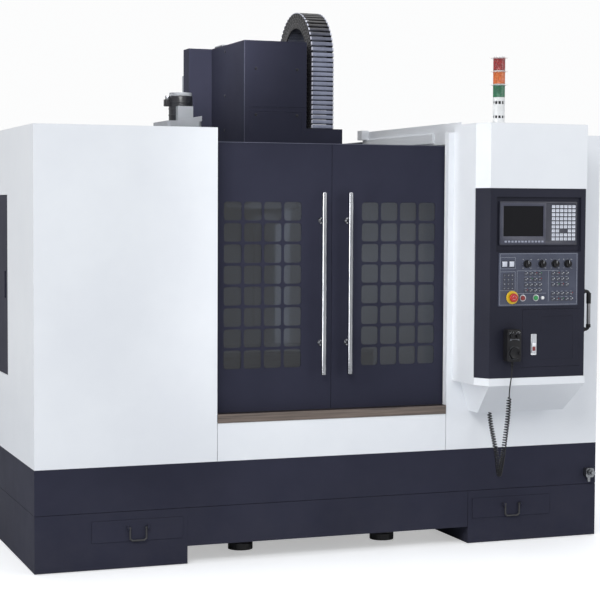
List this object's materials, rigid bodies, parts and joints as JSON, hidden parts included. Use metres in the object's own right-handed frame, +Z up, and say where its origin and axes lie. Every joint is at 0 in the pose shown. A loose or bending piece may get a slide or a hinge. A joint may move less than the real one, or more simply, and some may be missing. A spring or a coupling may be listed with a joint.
{
  "type": "cnc machining center",
  "caption": "Vertical CNC machining centre in a sheet-metal enclosure with two sliding window doors, a spindle head above the roof and an operator console on a pod.",
  "frame": {"origin": "middle of the whole footprint, on the floor", "axes": "+Z up; +Y from the operator's side to the back; +X to the operator's right"},
  "size_m": [2.77, 2.666, 2.6001],
  "materials": {
    "white_enamel": "textured semi-gloss enamel",
    "navy_enamel": "textured satin enamel",
    "casting_paint": "painted casting",
    "ground_iron": "ground",
    "ground_steel": "ground",
    "black_steel": "blackened",
    "sill_steel": "brushed",
    "handle_steel": "satin",
    "motor_paint": "satin",
    "magazine_metal": "machined",
    "chain_plastic": "moulded",
    "window_glass": "tinted laminated glass",
    "console_paint": "textured satin enamel",
    "control_plastic": "moulded",
    "screen_glass": "display glass",
    "panel_film": "printed film",
    "black_plastic": "moulded",
    "red_plastic": "moulded",
    "dark_red_plastic": "moulded",
    "green_plastic": "moulded",
    "yellow_plastic": "moulded",
    "cord_sheath": "satin sheath",
    "tower_white": "moulded",
    "lens_green": "ribbed translucent lens",
    "lens_amber": "ribbed translucent lens",
    "lens_red": "ribbed translucent lens",
    "coupling_metal": "cast and machined"
  },
  "bodies": {
    "machine": {"bed_casting": "casting_paint", "column_casting": "casting_paint", "levelling_feet": "black_steel", "base_pan": "navy_enamel", "base_plinth": "navy_enamel", "left_cabinet": "white_enamel", "right_cabinet": "white_enamel", "front_apron": "white_enamel", "door_sill": "sill_steel", "door_track": "sill_steel", "electrical_cabinet": "white_enamel", "energy_chain": "chain_plastic", "magazine_gearbox": "casting_paint", "console_pod": "white_enamel", "console_case": "console_paint", "cnc_unit": "control_plastic", "screen_pane": "screen_glass", "operator_panel": "panel_film", "stop_collar": "yellow_plastic", "grab_handle": "handle_steel", "pendant_box": "black_plastic", "cord_lead": "cord_sheath", "cord_coil": "cord_sheath", "cord_gland": "black_plastic", "tower_stem": "tower_white", "tower_lens_green": "lens_green", "tower_lens_amber": "lens_amber", "tower_lens_red": "lens_red", "air_coupling": "coupling_metal"},
    "saddle_slide": {"saddle": "casting_paint"},
    "table_slide": {"table": "ground_iron"},
    "head": {"head_casting": "casting_paint", "spindle_motor": "motor_paint", "head_cover": "navy_enamel"},
    "spindle_shaft": {"spindle": "ground_steel"},
    "left_sliding_door": {"left_door": "navy_enamel", "left_window": "window_glass", "left_door_handle": "handle_steel"},
    "right_sliding_door": {"right_door": "navy_enamel", "right_window": "window_glass", "right_door_handle": "handle_steel"},
    "magazine_side_door": {"side_door": "navy_enamel"},
    "rear_electrical_door": {"electrical_door": "white_enamel"},
    "tool_disc": {"magazine_disc": "magazine_metal"},
    "left_drawer": {"drawer_left": "navy_enamel"},
    "right_drawer": {"drawer_right": "navy_enamel"},
    "left_bail": {"drawer_bail_left": "black_steel"},
    "right_bail": {"drawer_bail_right": "black_steel"},
    "hatch": {"console_hatch": "console_paint"},
    "paddle": {"latch_paddle": "handle_steel"},
    "stop_push": {"stop_button": "red_plastic"},
    "hold_push": {"hold_button": "dark_red_plastic"},
    "start_push": {"start_button": "green_plastic"},
    "knob_1": {"override_knob_1": "black_plastic"},
    "knob_2": {"override_knob_2": "black_plastic"},
    "knob_3": {"override_knob_3": "black_plastic"},
    "knob_4": {"override_knob_4": "black_plastic"},
    "handwheel": {"pendant_wheel": "black_plastic"},
    "axis_selector": {"pendant_axis_knob": "black_plastic"},
    "rate_selector": {"pendant_rate_knob": "black_plastic"}
  },
  "joints": [
    {"name": "y_axis", "type": "slide", "parent": "machine", "child": "saddle_slide", "axis": [0, 1, 0], "range_m": [-0.25, 0.25]},
    {"name": "x_axis", "type": "slide", "parent": "saddle_slide", "child": "table_slide", "axis": [1, 0, 0], "range_m": [-0.4, 0.4]},
    {"name": "z_axis", "type": "slide", "parent": "machine", "child": "head", "axis": [0, 0, 1], "range_m": [-0.5, 0], "deforming": ["energy_chain"]},
    {"name": "spindle_spin", "type": "hinge", "parent": "head", "child": "spindle_shaft", "pos_m": [0, -0.009, 1.48], "axis": [0, 0, 1], "continuous": true},
    {"name": "left_door_slide", "type": "slide", "parent": "machine", "child": "left_sliding_door", "axis": [-1, 0, 0], "range_m": [0, 0.485]},
    {"name": "right_door_slide", "type": "slide", "parent": "machine", "child": "right_sliding_door", "axis": [1, 0, 0], "range_m": [0, 0.465]},
    {"name": "side_door_hinge", "type": "hinge", "parent": "machine", "child": "magazine_side_door", "pos_m": [-1.385, 0.341, 0.815], "axis": [0, 0, 1], "range_deg": [-100, 0]},
    {"name": "electrical_door_hinge", "type": "hinge", "parent": "machine", "child": "rear_electrical_door", "pos_m": [-0.6, 1.307, 0.52], "axis": [0, 0, 1], "range_deg": [0, 110]},
    {"name": "magazine_turn", "type": "hinge", "parent": "machine", "child": "tool_disc", "pos_m": [-0.7, 0.161, 1.47], "axis": [1, 0, 0], "continuous": true},
    {"name": "left_drawer_slide", "type": "slide", "parent": "machine", "child": "left_drawer", "axis": [0, -1, 0], "range_m": [0, 0.3]},
    {"name": "left_bail_swing", "type": "hinge", "parent": "left_drawer", "child": "left_bail", "pos_m": [-0.925, -0.9713, 0.181], "axis": [1, 0, 0], "range_deg": [-80, 0]},
    {"name": "right_drawer_slide", "type": "slide", "parent": "machine", "child": "right_drawer", "axis": [0, -1, 0], "range_m": [0, 0.3]},
    {"name": "right_bail_swing", "type": "hinge", "parent": "right_drawer", "child": "right_bail", "pos_m": [0.925, -0.9713, 0.181], "axis": [1, 0, 0], "range_deg": [-80, 0]},
    {"name": "hatch_hinge", "type": "hinge", "parent": "machine", "child": "hatch", "pos_m": [1.1127, -1.255, 0.867], "axis": [0, 0, 1], "range_deg": [0, 110]},
    {"name": "latch_pull", "type": "hinge", "parent": "hatch", "child": "paddle", "pos_m": [0.874, -1.2613, 0.9795], "axis": [1, 0, 0], "range_deg": [-35, 0], "stiffness_Nm_per_rad": 0.4},
    {"name": "stop_press", "type": "slide", "parent": "machine", "child": "stop_push", "axis": [0, 1, 0], "range_m": [0, 0.005], "stiffness_N_per_m": 900},
    {"name": "hold_press", "type": "slide", "parent": "machine", "child": "hold_push", "axis": [0, 1, 0], "range_m": [0, 0.003], "stiffness_N_per_m": 500},
    {"name": "start_press", "type": "slide", "parent": "machine", "child": "start_push", "axis": [0, 1, 0], "range_m": [0, 0.003], "stiffness_N_per_m": 500},
    {"name": "knob_1_turn", "type": "hinge", "parent": "machine", "child": "knob_1", "pos_m": [0.833, -1.255, 1.343], "axis": [0, 1, 0], "range_deg": [-135, 135]},
    {"name": "knob_2_turn", "type": "hinge", "parent": "machine", "child": "knob_2", "pos_m": [0.911, -1.255, 1.343], "axis": [0, 1, 0], "range_deg": [-135, 135]},
    {"name": "knob_3_turn", "type": "hinge", "parent": "machine", "child": "knob_3", "pos_m": [0.979, -1.255, 1.343], "axis": [0, 1, 0], "range_deg": [-135, 135]},
    {"name": "knob_4_turn", "type": "hinge", "parent": "machine", "child": "knob_4", "pos_m": [1.044, -1.255, 1.343], "axis": [0, 1, 0], "range_deg": [-135, 135]},
    {"name": "handwheel_turn", "type": "hinge", "parent": "machine", "child": "handwheel", "pos_m": [0.749, -1.309, 0.939], "axis": [0, 1, 0], "continuous": true},
    {"name": "axis_select", "type": "hinge", "parent": "machine", "child": "axis_selector", "pos_m": [0.733, -1.309, 1.019], "axis": [0, 1, 0], "range_deg": [-60, 60]},
    {"name": "rate_select", "type": "hinge", "parent": "machine", "child": "rate_selector", "pos_m": [0.765, -1.309, 1.019], "axis": [0, 1, 0], "range_deg": [-60, 60]}
  ]
}
